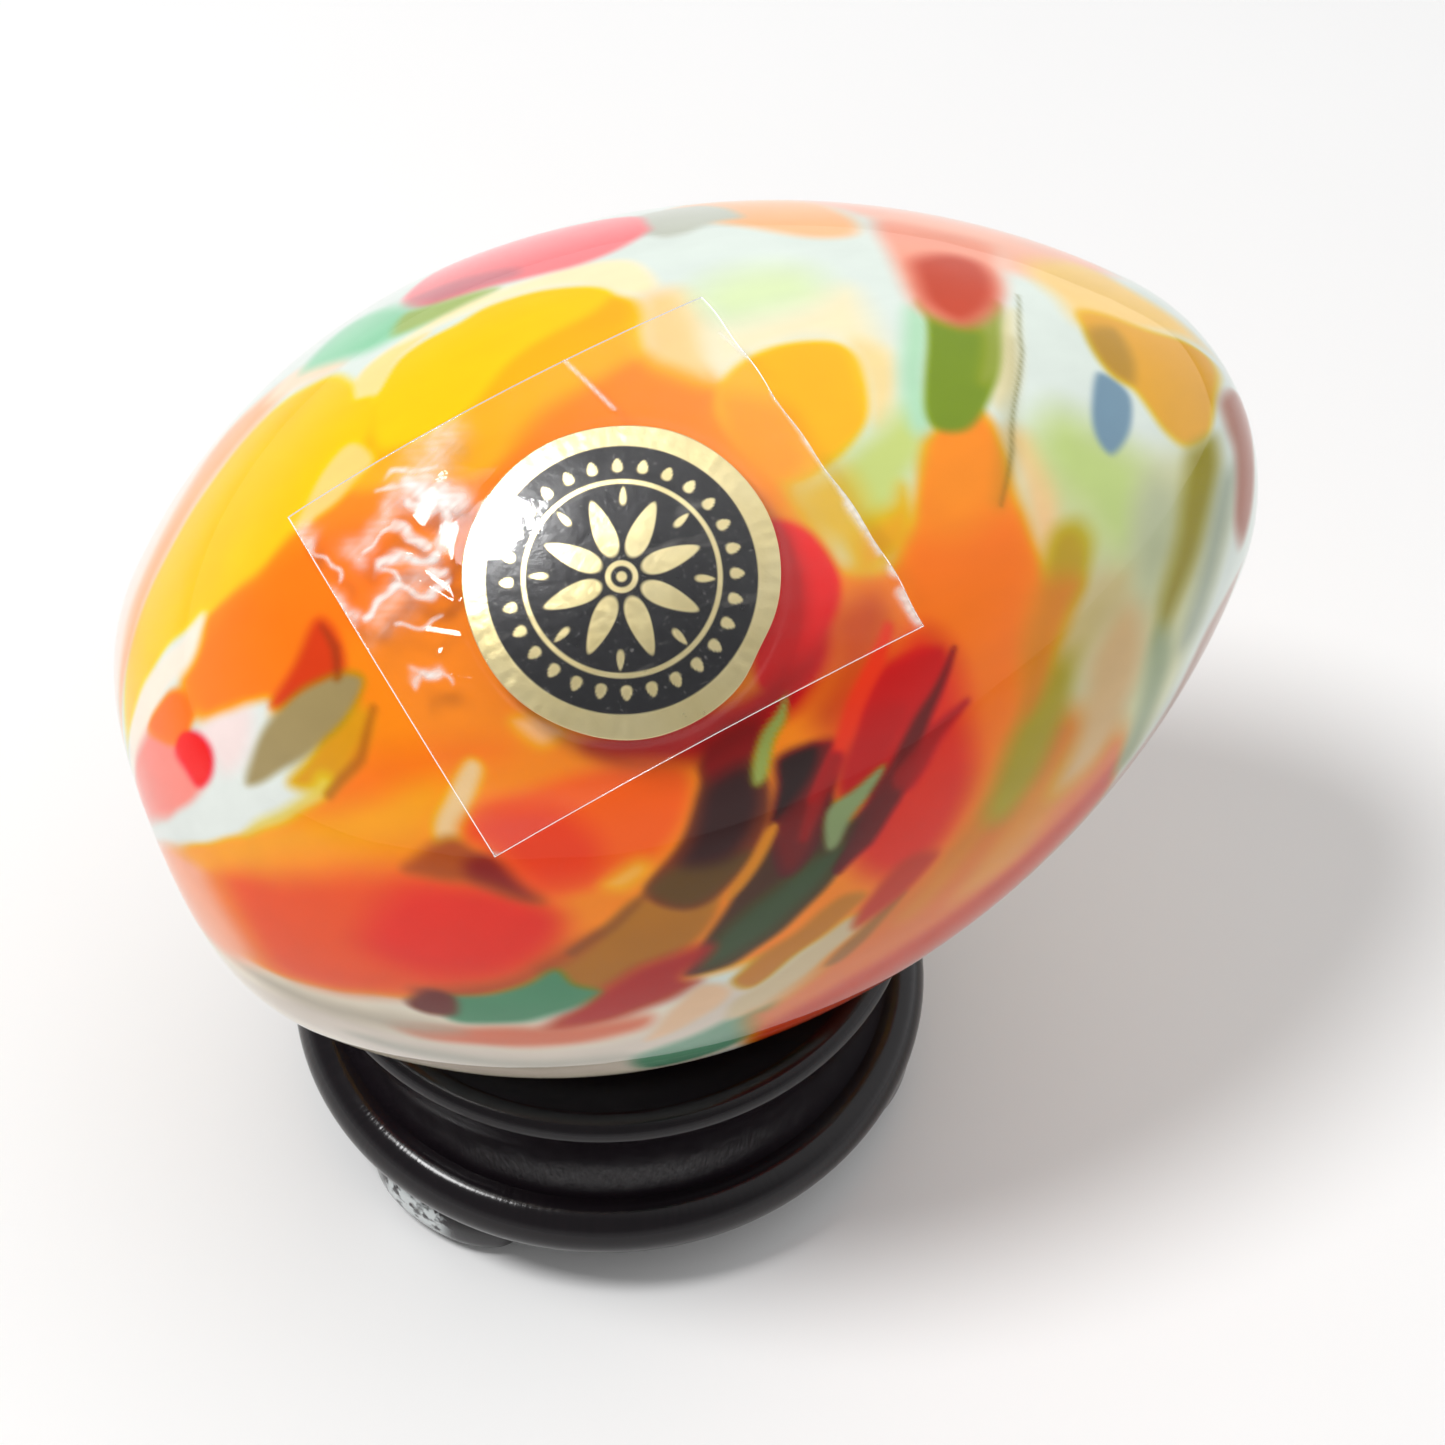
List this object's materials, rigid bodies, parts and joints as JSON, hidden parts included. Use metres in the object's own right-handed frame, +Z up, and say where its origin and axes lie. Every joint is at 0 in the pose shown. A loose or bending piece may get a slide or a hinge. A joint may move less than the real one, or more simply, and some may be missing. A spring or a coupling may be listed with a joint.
{
  "type": "art glass egg on a stand",
  "caption": "Cased art-glass egg with swirled colour chips and a small flat base, a round foil label under clear tape, lying on a turned black lacquered stand with small feet.",
  "frame": {"origin": "where the stand's axis meets the shelf", "axes": "+Z up along the stand's axis; the egg lies in the XZ plane's direction with its nose towards +X, raised 11 degrees"},
  "size_m": [0.0763, 0.0544, 0.0703],
  "materials": {
    "opal_glass": "opaque opal white glass, sealed inside",
    "coloured_glass": "melted glass chips in orange, yellow, red, green and opal, twisted into streaks",
    "clear_glass": "fire polished clear glass",
    "label_foil": "satin gold foil with a black printed disc",
    "tape_film": "clear glossy film, slightly wrinkled",
    "black_lacquer": "gloss black lacquer over fine grain"
  },
  "bodies": {
    "stand": {"turned_base": "black_lacquer", "foot_1": "black_lacquer", "foot_2": "black_lacquer", "foot_3": "black_lacquer"},
    "egg": {"opal_core": "opal_glass", "colour_layer": "coloured_glass", "clear_casing": "clear_glass", "foil_label": "label_foil", "clear_tape": "tape_film"}
  },
  "joints": [
    {"name": "egg_lift", "type": "slide", "parent": "stand", "child": "egg", "axis": [0, 0, 1], "range_m": [0, 0.06]}
  ]
}
